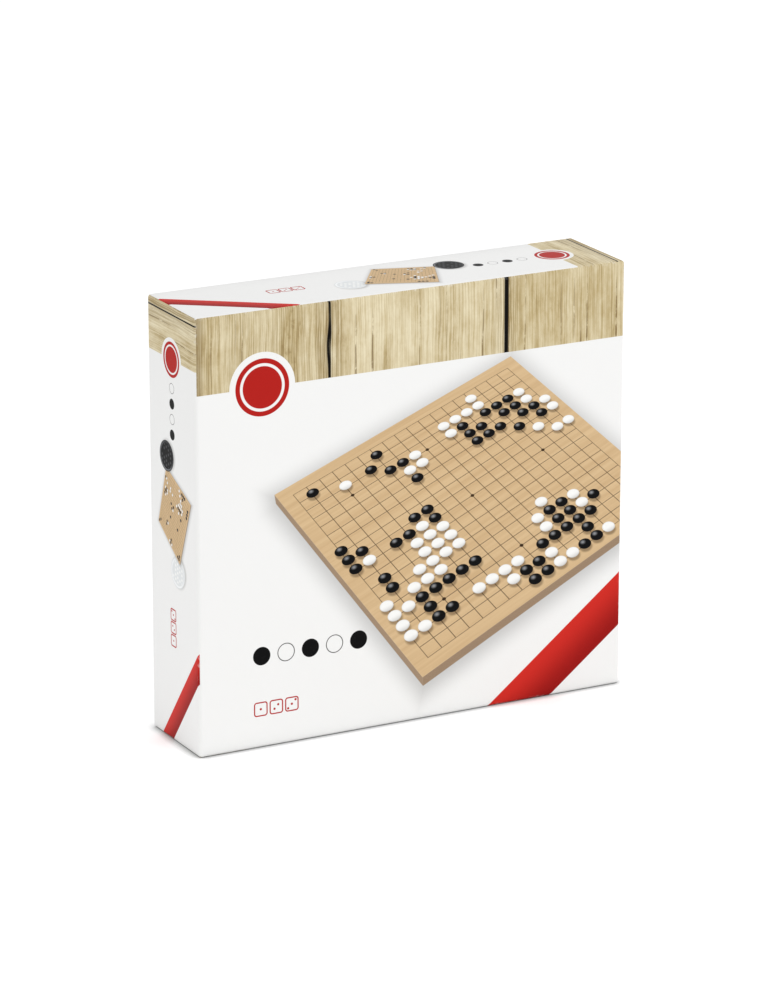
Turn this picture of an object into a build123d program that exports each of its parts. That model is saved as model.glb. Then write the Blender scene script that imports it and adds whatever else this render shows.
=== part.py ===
from build123d import *
from collections import namedtuple
import math
import os

# A boxed weiqi set, standing on its long edge. A lift-off lid telescopes over a base. Both are
# rigid greyboard trays with stayed corners and a paper wrap. Inside lie a formed tray, two lidded
# bowls of stones, the playing board and a folded leaflet.
# Millimetres, +Z up, lid panel facing -Y, origin in the middle of the underside.

# Box
box_width = 320.0
box_height = 300.0
box_depth = 72.0
greyboard = 1.6
wrap_paper = 0.25
glue_gap = 0.15
lining_gap = 0.05
fold_radius = 2.2
turn_in = 16.0
telescope_gap = 0.5
rim_setback = 1.5
base_rim_drop = 8.0
stay_paper = 0.1
stay_leg = 22.0
stay_end_gap = 5.0

# Contents
seat_gap = 0.3
leaflet_width = 210.0
leaflet_height = 148.0
leaflet_leaf = 0.35
leaflet_leaf_gap = 0.1
board_edge_gap = 2.9
board_core_thickness = 10.8
board_veneer = 0.6
board_edge_round = 1.0

# Engraved grid of the playing board
grid_lines = 19
grid_margin_width = 14.3
grid_margin_height = 13.3
line_width = 0.7
line_depth = 0.3
star_radius = 1.7
star_line_numbers = (3, 9, 15)

# Formed tray
tray_sheet = 1.0
tray_gap = 0.4
tray_draft_deg = 2.0
tray_corner = 6.0
tray_bend = 3.0
well_edge_land = 14.0
well_middle_land = 16.0
well_draft_deg = 5.0
well_side_gap = 1.5
well_lead_in = 2.0
lead_in_angle_deg = 45.0
scoop_width = 34.0
scoop_length = 20.0
scoop_depth = 18.0
scoop_corner = 12.0

# Bowls
bowl_height = 26.0
bowl_wall = 1.8
bowl_floor = 1.8
bowl_taper = 4.5
bowl_floor_round = 4.0
bowl_foot_ring = 7.0
bowl_foot_recess = 0.6
bowl_rim_bead = 0.5
bowl_rim_bead_height = 2.0
bowl_rim_round = 0.4
bowl_lid_top = 1.6
bowl_lid_skirt = 1.6
bowl_lid_skirt_height = 7.0
bowl_lid_fit = 0.3
bowl_lid_round = 1.2
bowl_lid_bead = 0.4
bowl_lid_bead_height = 1.6
bowl_lid_panel_drop = 0.7
bowl_lid_panel_inset = 7.0

# Stones
stone_diameter = 13.5
stone_thickness = 5.4
stone_gap = 0.4
stone_sides = 10
stone_ring_shares = (1.0, 0.72, 0.32)

# Making
overrun = 1.0
least_radius = 0.3
touch = 0.01

# Worked-out sizes
outer_skin = wrap_paper + glue_gap
plain_wall = outer_skin + greyboard
lined_wall = plain_wall + lining_gap + wrap_paper
clear_depth = box_depth - 2 * plain_wall
base_wall_depth = box_depth - plain_wall - base_rim_drop
base_inset = lined_wall + telescope_gap
clear_width = box_width - 2 * (base_inset + lined_wall)
clear_height = box_height - 2 * (base_inset + lined_wall)
leaflet_thickness = 2 * leaflet_leaf + leaflet_leaf_gap
board_thickness = board_core_thickness + 2 * board_veneer
board_width = clear_width - 2 * board_edge_gap
board_height = clear_height - 2 * board_edge_gap

# Heights above the inside of the base, with the set lying flat
leaflet_level = clear_depth - seat_gap - leaflet_thickness
board_level = leaflet_level - seat_gap - board_thickness
deck_level = board_level - seat_gap
bowl_lid_level = deck_level - seat_gap
bowl_level = bowl_lid_level - bowl_lid_top - bowl_height
well_depth = deck_level - bowl_level + seat_gap

# The tray narrows towards its deck, and the two wells share the deck's width
tray_width = clear_width - 2 * tray_gap
tray_height = clear_height - 2 * tray_gap
tray_rise = deck_level - seat_gap
tray_lean = tray_rise * math.tan(math.radians(tray_draft_deg))
deck_half_width = tray_width / 2 - tray_lean
well_radius = (deck_half_width - well_edge_land - well_middle_land / 2) / 2
well_offset = well_middle_land / 2 + well_radius

# The bowl lid runs inside the well's mouth, and its skirt snaps over the bowl's rim
bowl_lid_radius = well_radius - well_side_gap
bowl_radius = bowl_lid_radius - bowl_lid_skirt - bowl_lid_fit - bowl_rim_bead
bowl_foot_radius = bowl_radius - bowl_taper
stone_radius = stone_diameter / 2
stone_pitch = stone_diameter + stone_gap

# Lying flat: X across, Y up the box, Z out of the base. Standing puts that Z along -Y.
inside_back = Plane(
    origin=(0, box_depth / 2 - plain_wall, box_height / 2), x_dir=(1, 0, 0), z_dir=(0, -1, 0)
)

Shell = namedtuple("Shell", "half_width z_low z_high y_panel y_rim")
lid_shell = Shell(box_width / 2, 0, box_height, -box_depth / 2, box_depth / 2 - rim_setback)
base_shell = Shell(
    box_width / 2 - base_inset,
    base_inset,
    box_height - base_inset,
    box_depth / 2,
    box_depth / 2 - base_wall_depth,
)


def opening_way(shell):
    """Which way along Y a shell opens, from its panel to its rim."""
    return math.copysign(1, shell.y_rim - shell.y_panel)


def shell_limits(shell, inset, rim_inset=0):
    """The shell's box, shrunk by inset on its five closed sides and by rim_inset at its rim."""
    way = opening_way(shell)
    return {
        "left": -shell.half_width + inset,
        "right": shell.half_width - inset,
        "bottom": shell.z_low + inset,
        "top": shell.z_high - inset,
        "panel": shell.y_panel + way * inset,
        "rim": shell.y_rim - way * rim_inset,
    }


def shell_block(shell, inset, rim_inset=0):
    """A block with those limits, rounded along its folds as far as the inset leaves a radius."""
    at = shell_limits(shell, inset, rim_inset)
    size = (at["right"] - at["left"], abs(at["rim"] - at["panel"]), at["top"] - at["bottom"])
    middle = (0, (at["rim"] + at["panel"]) / 2, (at["top"] + at["bottom"]) / 2)
    block = Pos(*middle) * Box(*size)
    radius = fold_radius - inset
    if radius > least_radius:
        folds = [edge for edge in block.edges() if abs(edge.center().Y - at["rim"]) > touch]
        block = fillet(folds, radius)
    return block


def fold_wedge(shell, side):
    """The space that one side of a shell owns: its mitred corners meet the next side's."""
    sections = []
    for inset in (0, lined_wall + overrun):
        at = shell_limits(shell, inset, -overrun)
        x, y, z = (at["left"], at["right"]), (at["panel"], at["rim"]), (at["bottom"], at["top"])
        ring = ((0, 0), (1, 0), (1, 1), (0, 1))
        if side == "panel":
            corners = [(x[i], at["panel"], z[j]) for i, j in ring]
        elif side in ("left", "right"):
            corners = [(at[side], y[i], z[j]) for i, j in ring]
        else:
            corners = [(x[i], y[j], at[side]) for i, j in ring]
        sections.append(Face(Wire.make_polygon(corners)))
    return loft(sections, ruled=True)


def split_at_folds(shell, tray):
    """The five sides of a tray, cut apart where its sheet is scored and folded."""
    return {side: tray & fold_wedge(shell, side) for side in ("panel", "left", "right", "top", "bottom")}


def board_sides(shell):
    """The greyboard of one half of the box, side by side."""
    tray = shell_block(shell, outer_skin, outer_skin) - shell_block(shell, plain_wall, -overrun)
    return split_at_folds(shell, tray)


def corner_stays(shell):
    """Paper tape round the four upright corners, between the greyboard and the wrap."""
    slack = (glue_gap - stay_paper) / 2
    skin = shell_block(shell, wrap_paper + slack, stay_end_gap)
    skin -= shell_block(shell, outer_skin - slack, -overrun)
    at = shell_limits(shell, 0, stay_end_gap)
    way = opening_way(shell)
    start = at["panel"] + way * stay_end_gap
    length = abs(at["rim"] - start)
    stays = []
    for x in (at["left"], at["right"]):
        for z in (at["bottom"], at["top"]):
            corner = Pos(x, (start + at["rim"]) / 2, z) * Box(2 * stay_leg, length, 2 * stay_leg)
            stays.append(skin & corner)
    return stays


def paper_wrap(shell):
    """The wrap: one sheet over the outside, folded round the rim and glued down inside it."""
    sheet = shell_block(shell, 0) - shell_block(shell, wrap_paper, wrap_paper)
    lining = shell_block(shell, plain_wall + lining_gap) - shell_block(shell, lined_wall, -overrun)
    mouth = shell_block(shell, lined_wall, -overrun)
    way = opening_way(shell)
    strip_depth = Pos(0, shell.y_rim - way * turn_in / 2, (shell.z_low + shell.z_high) / 2) * Box(
        2 * shell.half_width, turn_in, shell.z_high - shell.z_low
    )
    wrap = (sheet - mouth) + (lining & strip_depth)
    return list(split_at_folds(shell, wrap).values())


def tapered(outline, depth, draft_deg):
    """A hollow's form, from its mouth at height zero down to depth, narrowing at the draft."""
    return extrude(outline, amount=-depth, taper=draft_deg)


def well_form(growth):
    """One bowl well with a finger scoop above and below, grown outwards by the sheet."""
    well = tapered(Circle(well_radius + growth), well_depth + growth, well_draft_deg)
    lead_in = tapered(Circle(well_radius + well_lead_in + growth), well_lead_in + growth, lead_in_angle_deg)
    reach = 2 * (well_radius + scoop_length + growth)
    width = scoop_width + 2 * growth
    scoop = tapered(
        RectangleRounded(width, reach, scoop_corner + growth), scoop_depth + growth, well_draft_deg
    )
    return well + lead_in + scoop


def tray_block(inset):
    """The tray's drafted block, rounded at its bend, or the same block one sheet inside it."""
    outline = RectangleRounded(tray_width - 2 * inset, tray_height - 2 * inset, tray_corner - inset)
    block = extrude(outline, amount=tray_rise - inset, taper=tray_draft_deg)
    return Pos(0, 0, seat_gap) * fillet(block.edges().group_by(Axis.Z)[-1], tray_bend - inset)


def deck_slab():
    """The deck's flat sheet, inside the bend round its edge."""
    inset = tray_lean + tray_bend
    outline = RectangleRounded(tray_width - 2 * inset, tray_height - 2 * inset, tray_corner - inset)
    return Pos(0, 0, deck_level - tray_sheet) * extrude(outline, amount=tray_sheet)


def tray_deck():
    """The flat top of the formed tray, open where the wells go down."""
    deck = deck_slab()
    for side in (-1, 1):
        deck -= Pos(side * well_offset, 0, deck_level) * well_form(tray_sheet)
    return deck


def tray_walls():
    """The formed tray's four drafted walls with the bend to its deck, cut apart at their corners."""
    frame = tray_block(0) - tray_block(tray_sheet) - deck_slab()
    x, y = tray_width / 2 + overrun, tray_height / 2 + overrun
    corners = [(-x, -y), (x, -y), (x, y), (-x, y)]
    walls = []
    for start, end in zip(corners, corners[1:] + corners[:1]):
        quarter = make_face(Polyline(start, end, (0, 0), close=True))
        walls.append(frame & extrude(quarter, amount=deck_level))
    return walls


def tray_well():
    """The sheet round one well and its scoops, with its mouth at height zero."""
    return well_form(tray_sheet) - well_form(0)


def turned(points):
    """A solid of revolution about Z through radius and height pairs."""
    return revolve(make_face(Plane.XZ * Polyline(*points, close=True)), Axis.Z)


def ring_edges(part, height, radius):
    """The circular edges of a turned part at one height and radius."""
    rings = part.edges().filter_by(GeomType.CIRCLE)
    return [
        edge
        for edge in rings
        if abs(edge.arc_center.Z - height) < touch and abs(edge.radius - radius) < touch
    ]


def bowl():
    """A tapered bowl with a snap bead round its rim, standing on height zero on a foot ring."""
    ring = bowl_foot_radius - bowl_foot_ring
    inner_radius = bowl_radius - bowl_wall
    inner_foot = bowl_foot_radius - bowl_wall + bowl_taper * bowl_floor / bowl_height
    bead = bowl_radius + bowl_rim_bead
    bead_under = bowl_height - bowl_rim_bead_height
    wall_under = bowl_radius - bowl_taper * bowl_rim_bead_height / bowl_height
    body = turned(
        [
            (0, bowl_foot_recess),
            (ring - bowl_foot_recess, bowl_foot_recess),
            (ring, 0),
            (bowl_foot_radius, 0),
            (wall_under, bead_under),
            (bead, bead_under + bowl_rim_bead),
            (bead, bowl_height),
            (inner_radius, bowl_height),
            (inner_foot, bowl_floor),
            (0, bowl_floor),
        ]
    )
    body = fillet(ring_edges(body, 0, bowl_foot_radius), bowl_floor_round)
    body = fillet(ring_edges(body, bowl_floor, inner_foot), bowl_floor_round - bowl_wall)
    rim = ring_edges(body, bowl_height, bead) + ring_edges(body, bowl_height, inner_radius)
    return fillet(rim, bowl_rim_round)


def bowl_lid():
    """A cap that sits on the bowl's rim at height zero, with a grip bead and a sunk middle panel."""
    inner = bowl_lid_radius - bowl_lid_skirt
    panel = bowl_lid_radius - bowl_lid_panel_inset
    top = bowl_lid_top - bowl_lid_panel_drop
    shoulder = bowl_lid_radius - bowl_lid_bead
    bead_top = bowl_lid_bead_height - bowl_lid_skirt_height
    cap = turned(
        [
            (0, 0),
            (inner, 0),
            (inner, -bowl_lid_skirt_height),
            (bowl_lid_radius, -bowl_lid_skirt_height),
            (bowl_lid_radius, bead_top),
            (shoulder, bead_top + bowl_lid_bead),
            (shoulder, bowl_lid_top),
            (panel + bowl_lid_panel_drop, bowl_lid_top),
            (panel, top),
            (0, top),
        ]
    )
    return fillet(ring_edges(cap, bowl_lid_top, shoulder), bowl_lid_round)


def stone():
    """A lens-shaped stone with few faces: tapered rings of two spherical caps, back to back."""
    half = stone_thickness / 2
    sphere = (stone_radius**2 + half**2) / (2 * half)
    radii = [share * stone_radius for share in stone_ring_shares]
    rises = [math.sqrt(sphere**2 - radius**2) - (sphere - half) for radius in radii]
    levels = [rise * half / rises[-1] for rise in rises]
    flat_share = math.cos(math.pi / stone_sides)
    cap = Part()
    for ring in range(len(radii) - 1):
        rise = levels[ring + 1] - levels[ring]
        slope = math.atan((radii[ring] - radii[ring + 1]) * flat_share / rise)
        outline = RegularPolygon(radii[ring], stone_sides)
        cap += Pos(0, 0, levels[ring]) * extrude(outline, amount=rise, taper=math.degrees(slope))
    return cap + mirror(cap, Plane.XY)


def stone_layer():
    """One close-packed layer of stones lying on the floor of a bowl."""
    floor_radius = bowl_foot_radius - bowl_wall - (bowl_floor_round - bowl_wall)
    rings = int((floor_radius - stone_radius) / stone_pitch)
    height = bowl_floor + stone_gap / 2 + stone_thickness / 2
    one = stone()
    layer = []
    for column in range(-rings, rings + 1):
        for row in range(max(-rings, -rings - column), min(rings, rings - column) + 1):
            x = stone_pitch * (column + row / 2)
            y = stone_pitch * row * math.sin(math.pi / 3)
            layer.append(Pos(x, y, height) * one)
    return layer


def grid_net():
    """The engraved lines and star points as one face: a ruled field less its cells."""
    cell_width = (board_width - 2 * grid_margin_width) / (grid_lines - 1)
    cell_height = (board_height - 2 * grid_margin_height) / (grid_lines - 1)
    field = Rectangle(
        (grid_lines - 1) * cell_width + line_width, (grid_lines - 1) * cell_height + line_width
    )
    cells = GridLocations(cell_width, cell_height, grid_lines - 1, grid_lines - 1)
    field -= [place * Rectangle(cell_width - line_width, cell_height - line_width) for place in cells]
    middle = (grid_lines - 1) / 2
    for column in star_line_numbers:
        for row in star_line_numbers:
            star = Pos((column - middle) * cell_width, (row - middle) * cell_height)
            field += star * Circle(star_radius)
    return field


def board_sheet(thickness):
    """One layer of the playing board, with softened upright corners."""
    return extrude(RectangleRounded(board_width, board_height, board_edge_round), amount=thickness)


def board_face():
    """The face veneer, with the grid burnt into it."""
    sheet = board_sheet(board_veneer)
    grooves = extrude(grid_net(), amount=line_depth + overrun)
    return sheet - Pos(0, 0, board_veneer - line_depth) * grooves


def rules_leaflet():
    """A sheet folded once at its left side, lying closed."""
    outer = leaflet_thickness / 2
    inner = leaflet_leaf_gap / 2
    left = -leaflet_width / 2 + outer
    right = leaflet_width / 2
    profile = Pos((left + right) / 2, outer) * Rectangle(right - left, leaflet_thickness)
    profile += Pos(left, outer) * Circle(outer)
    slit = Pos((left + right + overrun) / 2, outer) * Rectangle(right + overrun - left, leaflet_leaf_gap)
    slit += Pos(left, outer) * Circle(inner)
    return extrude(Plane.XZ * (profile - slit), amount=leaflet_height / 2, both=True)


def stand(part, x=0, y=0, level=0):
    """Put a piece that was drawn lying flat at its place in the standing box."""
    return inside_back.location * Pos(x, y, level) * part


# Pieces by name
pieces = {}
for half, shell, panel in (("lid", lid_shell, "front"), ("base", base_shell, "back")):
    for side, sheet in board_sides(shell).items():
        pieces[f"{half}_{panel if side == 'panel' else side}_board"] = [sheet]
    pieces[f"{half}_corner_stays"] = corner_stays(shell)
    pieces[f"{half}_wrap"] = paper_wrap(shell)

# The formed tray is one sheet, split along its bends
pieces["tray_deck"] = [stand(tray_deck())]
pieces["tray_walls"] = [stand(wall) for wall in tray_walls()]

for colour, side in (("black", -1), ("white", 1)):
    centre = side * well_offset
    pieces[f"tray_{colour}_well"] = [stand(tray_well(), centre, 0, deck_level)]
    pieces[f"{colour}_bowl"] = [stand(bowl(), centre, 0, bowl_level)]
    pieces[f"{colour}_bowl_lid"] = [stand(bowl_lid(), centre, 0, bowl_level + bowl_height)]
    pieces[f"{colour}_stones"] = [stand(one, centre, 0, bowl_level) for one in stone_layer()]

# In the standing box the board rests on the base's lower wall and the leaflet on the lid's
board_drop = seat_gap - board_edge_gap
pieces["board_back_veneer"] = [stand(board_sheet(board_veneer), 0, board_drop, board_level)]
pieces["board_core"] = [stand(board_sheet(board_core_thickness), 0, board_drop, board_level + board_veneer)]
pieces["board_face_veneer"] = [
    stand(board_face(), 0, board_drop, board_level + board_veneer + board_core_thickness)
]
leaflet_drop = seat_gap + plain_wall - (box_height - leaflet_height) / 2
pieces["rules_leaflet"] = [stand(rules_leaflet(), 0, leaflet_drop, leaflet_level)]

os.makedirs("parts", exist_ok=True)
for name, solids in pieces.items():
    found = [solid for piece in solids for solid in piece.solids()]
    shape = found[0] if len(found) == 1 else Compound(children=found)
    export_step(shape, f"parts/{name}.step")
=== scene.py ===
import random
from functools import partialmethod
from math import asin, copysign, cos, hypot, pi, radians, sin, sqrt, tan

import bmesh
import bpy
from mathutils import Matrix, Vector


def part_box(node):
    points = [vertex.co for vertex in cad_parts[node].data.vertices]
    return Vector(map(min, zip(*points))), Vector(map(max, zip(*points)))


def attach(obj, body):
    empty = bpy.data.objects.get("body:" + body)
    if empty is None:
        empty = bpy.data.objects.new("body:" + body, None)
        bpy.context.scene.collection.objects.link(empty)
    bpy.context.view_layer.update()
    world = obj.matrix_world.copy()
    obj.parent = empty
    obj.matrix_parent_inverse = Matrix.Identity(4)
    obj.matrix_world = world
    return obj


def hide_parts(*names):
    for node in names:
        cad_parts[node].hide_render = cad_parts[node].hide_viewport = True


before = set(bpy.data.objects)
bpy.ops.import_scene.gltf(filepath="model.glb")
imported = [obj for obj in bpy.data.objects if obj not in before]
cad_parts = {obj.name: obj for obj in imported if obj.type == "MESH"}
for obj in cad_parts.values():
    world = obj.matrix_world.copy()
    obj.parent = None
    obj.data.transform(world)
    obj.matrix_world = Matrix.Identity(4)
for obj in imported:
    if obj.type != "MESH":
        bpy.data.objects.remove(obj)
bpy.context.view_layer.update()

# The looks of a boxed weiqi set: a printed lift-off lid over a white base, and the set inside it.
# Geometry is in metres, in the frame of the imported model. Printed motifs are laid out in millimetres.

MM = 0.001

# Camera, fitted to the corners of the box
IMAGE_HEIGHT = 1000
VIEW_AZIMUTH = radians(-27.84)
VIEW_ELEVATION = radians(17.32)
VIEW_DISTANCE = 3.2376
VIEW_AIM_HEIGHT = 0.1552
VIEW_AIM_RIGHT = -0.0024
VIEW_AIM_UP = -0.00944
FOCAL_PIXELS = 4828.4
SENSOR = 36.0

# Light and floor
SKY_STRENGTH = 0.79
FLOOR_SIZE = 12.0
FLOOR_GLOW = 0.28
# How far the floor's painted contact shade reaches from what stands on it
PAINTED_SHADE_REACH = 7.0 * MM
KEY_POWER = 10.5
KEY_SIZE = 1.4
KEY_PLACE = (0.5, -0.8, 2.0)
KEY_AIM = (0.0, 0.0, 0.15)

# Print on the lid, in millimetres
EDGE_SOFT = 0.16
PRINT_SHINE = 0.05
PLANK = 132.0
PLANK_WARP = 4.0
PLANK_WAVE = 8.0
PLANK_RIM = 14.0
PIP_LINE = 0.9

# Panel of the lid, with places measured from the middle of its foot
FRONT_BAND = 52.0
FRONT_GAP = 2.0
FRONT_FIRST_GAP = -63.0
FRONT_DARK_EDGE = (1.0, 8.0)
FRONT_BOARD = dict(centre=(44.0, 152.0), side=220.0, turn_deg=33.0, tilt_deg=44.0)
FRONT_GAME_SEED = 11.0
FRONT_SEAL_X = -112.0
FRONT_SEAL_RADIUS = 19.5
FRONT_ROW = dict(start=(-114.0, 64.0), step=18.0, radius=6.4, count=5)
FRONT_PIPS = dict(start=(-115.0, 27.0), step=11.5, half=4.6)
FRONT_RIBBON_WIDTH = 30.0
FRONT_RIBBON_RUN = 104.0
FRONT_RIBBON_RISE = 82.0

# Sides of the lid, with places as a share of their length and a height above their middle line
SIDE_BAND = 36.0
SIDE_GAP = 0.7
SIDE_LAST_GAP = 5.5
SIDE_RIBBON_WIDTH = 13.0
SIDE_RIBBON_START_SHARE = 0.6
SIDE_RIBBON_END_SHARE = 0.24
SIDE_PIPS_PLACE = (0.235, 2.0)
SIDE_PIPS = dict(step=9.0, half=3.8)
DISH_RADIUS = 10.5
PALE_DISH_PLACE = (0.40, -6.0)
DARK_DISH_PLACE = (0.655, 9.0)
SIDE_BOARD_PLACE = (0.53, 1.0)
SIDE_BOARD = dict(side=47.0, turn_deg=-24.0, tilt_deg=52.0)
SIDE_GAME_SEED = 23.0
SIDE_ROW_PLACE = (0.71, 0.0)
SIDE_ROW_STEP_SHARE = 0.035
SIDE_ROW = dict(radius=3.6, count=4)
SIDE_SEAL_RADIUS = 12.0

# Print on the leaflet, in millimetres, with small sizes as shares of a diagram's pitch
LEAFLET_PAGE = 66.0
DIAGRAM_LINES = 9
DIAGRAM_PITCH = 6.0
DIAGRAM_LIFT = 6.0
DIAGRAM_LINE_SHARE = 0.03
DIAGRAM_STONE_SHARE = 0.44
DIAGRAM_RING_SHARE = 0.34
DIAGRAM_EMPTY_SHARE = 0.68
RULE_LIFT = -32.0
RULE_HALF_SHARE = 0.12
HEAD_BAR_LIFT = 52.0
HEAD_BAR_HALF = 2.0
HEAD_BAR_REACH = 90.0

# Paper wraps
WRAP_PAPER = 0.25 * MM
WRAP_FOLD = 2.2 * MM
WRAP_FLAT = 3.0 * MM
WRAP_WALL = 2.3 * MM
WRAP_TURN_IN = 16.0 * MM
WRAP_RIM_ROUND = 0.4 * MM
WRAP_LEAST_ROUND = 0.25 * MM
ROUND_STEPS = 5
RIM_STEPS = 3
WELD = 0.005 * MM
RINGS_APART = 0.01 * MM

# Playing board
VENEER_STRIP_MM = 71.0
GRID_BORDER = 13.0 * MM
GROOVE_LIP = 0.08 * MM

# Formed tray
TRAY_SHEET = 1.0 * MM
TRAY_DRAFT_DEG = 2.0
TRAY_CORNER = 6.0 * MM
TRAY_LAND = 4.0 * MM
TRAY_BEND = 3.0 * MM
TRAY_BEND_STEPS = 4
TRAY_BEND_LIMIT_DEG = 35.0
WELL_GAP = 1.5 * MM
WELL_DRAFT_DEG = 5.0
SCOOP_WIDTH = 34.0 * MM
SCOOP_LENGTH = 20.0 * MM
SCOOP_DEPTH = 18.0 * MM
SCOOP_CORNER = 12.0 * MM
SCOOP_CORNER_STEPS = 6
WELL_ARC_STEPS = 40

# Bowls and their lids
BOWL_WALL = 1.8 * MM
BOWL_TAPER = 4.5 * MM
BOWL_BEAD = 0.5 * MM
BOWL_BEAD_HEIGHT = 2.0 * MM
BOWL_BEAD_ROUND = 0.2 * MM
BOWL_NECK_ROUND = 0.4 * MM
BOWL_RIM_ROUND = 0.5 * MM
BOWL_MOUTH_ROUND = 0.7 * MM
BOWL_FLOOR_ROUND = 3.0 * MM
BOWL_FOOT_ROUND = 3.8 * MM
BOWL_RECESS = 0.6 * MM
BOWL_RECESS_INSET = 7.0 * MM
BOWL_RECESS_ROUND = 0.5 * MM
LID_TOP = 1.6 * MM
LID_TOP_ROUND = 1.4 * MM
LID_SKIRT = 1.6 * MM
LID_SKIRT_ROUND = 0.4 * MM
LID_INNER_ROUND = 0.6 * MM
LID_GRIP = 0.4 * MM
LID_GRIP_HEIGHT = 1.6 * MM
LID_PANEL_INSET = 7.0 * MM
LID_PANEL_DROP = 0.7 * MM
LID_PANEL_SLOPE = 1.4 * MM
LID_PANEL_ROUND = 0.8 * MM
TURN_STEPS = 120
ARC_STEPS = 4
TURN_WELD = 0.001 * MM

# Stones
STONE_WIDTH = 13.5 * MM
STONE_FULLNESS = 0.7
STONE_STEPS = 20
STONE_RINGS = 5
HEAP_TRIES = 40
HEAP_LEAN_DEG = 7.0
FLAT_LAYER_SHARE = 1.1

X_AXIS, Y_AXIS, Z_AXIS = range(3)


def ink(red, green, blue):
    """A printed colour, given as a screen shows it, from 0 to 255."""
    shares = [channel / 255 for channel in (red, green, blue)]
    return tuple(s / 12.92 if s <= 0.04045 else ((s + 0.055) / 1.055) ** 2.4 for s in shares)


PAPER = ink(240, 240, 239)
RED = ink(178, 32, 27)
RED_BRIGHT = ink(206, 44, 36)
RED_DEEP = ink(150, 20, 18)
BLACK = ink(12, 12, 13)
WOOD_PALE = ink(232, 221, 190)
WOOD_MIDDLE = ink(190, 170, 124)
WOOD_DARK = ink(112, 87, 46)
WOOD_GAP = ink(12, 10, 8)
BOARD_PALE = ink(218, 189, 147)
BOARD_DARK = ink(200, 168, 126)
BOARD_LINE = ink(62, 47, 32)
BOARD_SIDE = ink(165, 143, 120)
BOARD_SIDE_DARK = ink(146, 122, 98)
SOFT_SHADOW = ink(120, 118, 116)
STONE_SHADOW = ink(70, 50, 32)
STONE_GLOSS = ink(196, 198, 202)
STONE_WHITE = ink(245, 245, 243)
STONE_SHADE = ink(168, 164, 158)
PALE_DISH = dict(body=ink(226, 229, 230), edge=ink(250, 251, 252), stone=ink(252, 252, 250), seed=4.0)
DARK_DISH = dict(body=BLACK, edge=ink(120, 122, 126), stone=ink(74, 75, 78), seed=9.0)
DIAGRAM_LINE = ink(70, 70, 72)
DIAGRAM_STONE = ink(40, 40, 42)
FLOOR_WHITE = ink(250, 250, 250)
# Colour of the painted contact shade on the floor
FLOOR_PAINTED_SHADE = ink(0, 0, 0)


class Term:
    """A number in a shader tree. Working with it adds the nodes that work it out."""

    def __init__(self, socket):
        self.socket = socket
        self.tree = socket.id_data

    def work(self, operation, *others):
        node = self.tree.nodes.new("ShaderNodeMath")
        node.operation = operation
        for socket, value in zip(node.inputs, (self, *others)):
            feed(socket, value)
        return Term(node.outputs[0])

    __add__ = __radd__ = partialmethod(work, "ADD")
    __sub__ = partialmethod(work, "SUBTRACT")
    __mul__ = __rmul__ = partialmethod(work, "MULTIPLY")
    __truediv__ = partialmethod(work, "DIVIDE")
    absolute = partialmethod(work, "ABSOLUTE")
    floor = partialmethod(work, "FLOOR")
    nearest = partialmethod(work, "ROUND")
    least = partialmethod(work, "MINIMUM")
    most = partialmethod(work, "MAXIMUM")
    power = partialmethod(work, "POWER")

    def __rsub__(self, other):
        return self.work("MULTIPLY_ADD", -1.0, other)

    def rising(self, low, high):
        """A smooth step from 0 at low to 1 at high."""
        node = self.tree.nodes.new("ShaderNodeMapRange")
        node.interpolation_type = "SMOOTHSTEP"
        feed(node.inputs["Value"], self)
        node.inputs["From Min"].default_value = low
        node.inputs["From Max"].default_value = high
        return Term(node.outputs["Result"])

    def falling(self, low, high):
        """A smooth step from 1 at low to 0 at high."""
        return 1 - self.rising(low, high)

    def inside(self, soft=EDGE_SOFT):
        """One where this distance is below zero, with a soft edge."""
        return self.falling(-soft, soft)


def feed(socket, value):
    """Give a socket a term, another socket, a number or a colour."""
    if isinstance(value, Term):
        value = value.socket
    if isinstance(value, bpy.types.NodeSocket):
        socket.id_data.links.new(value, socket)
    elif isinstance(value, tuple) and socket.type == "RGBA":
        socket.default_value = (*value, 1.0)
    else:
        socket.default_value = value


def length(x, y):
    """How far a point lies from zero."""
    return (x * x + y * y).work("SQRT")


def point(x, y, z=0.0):
    """A vector from a term and two more terms or numbers."""
    node = x.tree.nodes.new("ShaderNodeCombineXYZ")
    for socket, value in zip(node.inputs, (x, y, z)):
        feed(socket, value)
    return node.outputs[0]


def noise(where, scale=1.0, detail=2.0, rough=0.5):
    """Smooth noise from 0 to 1."""
    node = where.id_data.nodes.new("ShaderNodeTexNoise")
    feed(node.inputs["Vector"], where)
    node.inputs["Scale"].default_value = scale
    node.inputs["Detail"].default_value = detail
    node.inputs["Roughness"].default_value = rough
    return Term(node.outputs[0])


def scatter(where):
    """An even random number from 0 to 1 for each point."""
    node = where.id_data.nodes.new("ShaderNodeTexWhiteNoise")
    node.noise_dimensions = "3D"
    feed(node.inputs["Vector"], where)
    return Term(node.outputs["Value"])


def blended(share, under, over):
    """Two colours mixed by a share."""
    node = share.tree.nodes.new("ShaderNodeMix")
    node.data_type = "RGBA"
    feed(node.inputs[0], share)
    feed(node.inputs[6], under)
    feed(node.inputs[7], over)
    return node.outputs[2]


def surface(name, roughness=0.5, **shares):
    """A new material and its shader."""
    material = bpy.data.materials.new(name)
    material.use_nodes = True
    shader = material.node_tree.nodes["Principled BSDF"]
    shader.inputs["Roughness"].default_value = roughness
    for socket, value in shares.items():
        shader.inputs[socket.replace("_", " ")].default_value = value
    return material, shader


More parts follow.
